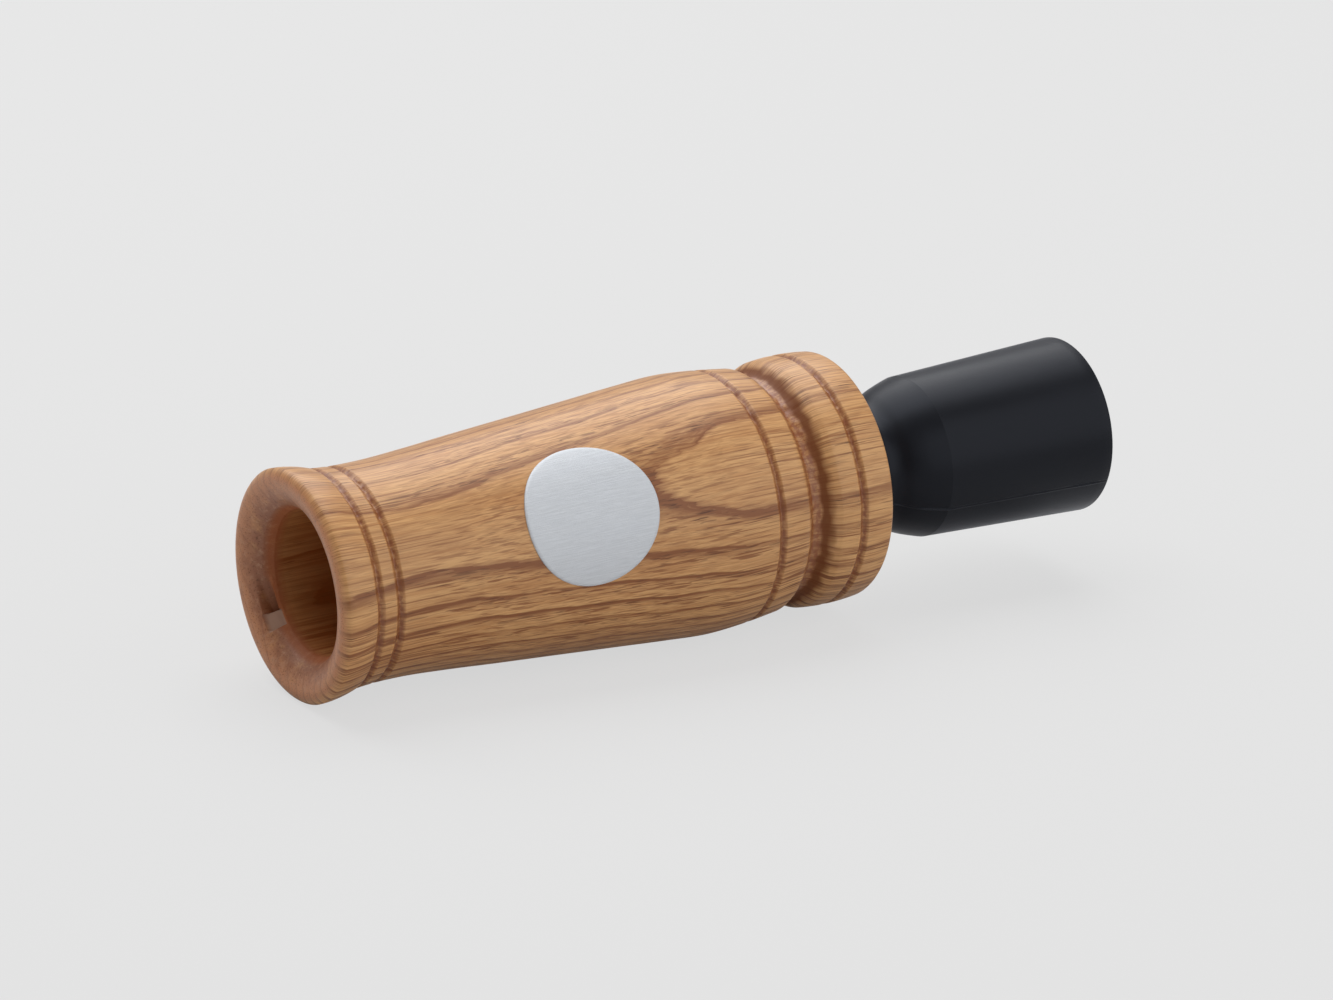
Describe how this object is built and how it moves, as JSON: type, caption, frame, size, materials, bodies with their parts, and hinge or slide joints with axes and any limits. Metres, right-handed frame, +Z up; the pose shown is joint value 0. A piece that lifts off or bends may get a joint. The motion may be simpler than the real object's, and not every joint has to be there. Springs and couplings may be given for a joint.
{
  "type": "bird call",
  "caption": "Mouth-blown bird call: turned wooden barrel with a dished lip and lanyard cove, and a pull-out moulded stopper with a flared bell that carries a tone board and reed.",
  "frame": {"origin": "on the call's axis, in the front plane of the mouth lip", "axes": "+X along the call's axis from the mouth to the bell, +Z up as the call lies on its side"},
  "size_m": [0.1306, 0.038, 0.038],
  "materials": {
    "barrel_wood": "oiled open-grain wood, satin",
    "label_foil": "brushed foil",
    "stopper_plastic": "satin black",
    "board_plastic": "satin black",
    "reed_film": "clear film, lightly frosted",
    "wedge_rubber": "matt",
    "ring_rubber": "matt"
  },
  "bodies": {
    "barrel": {"barrel": "barrel_wood", "foil_label": "label_foil"},
    "seals": {"o_ring_front": "ring_rubber", "o_ring_rear": "ring_rubber"},
    "insert": {"stopper": "stopper_plastic", "tone_board": "board_plastic", "reed_root": "reed_film", "wedge": "wedge_rubber"},
    "reed": {"reed_tongue": "reed_film"}
  },
  "joints": [
    {"name": "stopper_pull", "type": "slide", "parent": "barrel", "child": "seals", "axis": [1, 0, 0], "range_m": [0, 0.066]},
    {"name": "stopper_twist", "type": "hinge", "parent": "seals", "child": "insert", "pos_m": [0.0888, 0, 0], "axis": [1, 0, 0], "continuous": true},
    {"name": "reed_flex", "type": "hinge", "parent": "insert", "child": "reed", "pos_m": [0.066, 0, 0.00018], "axis": [0, 1, 0], "range_deg": [-1.8, 2], "stiffness_Nm_per_rad": 0.013}
  ]
}
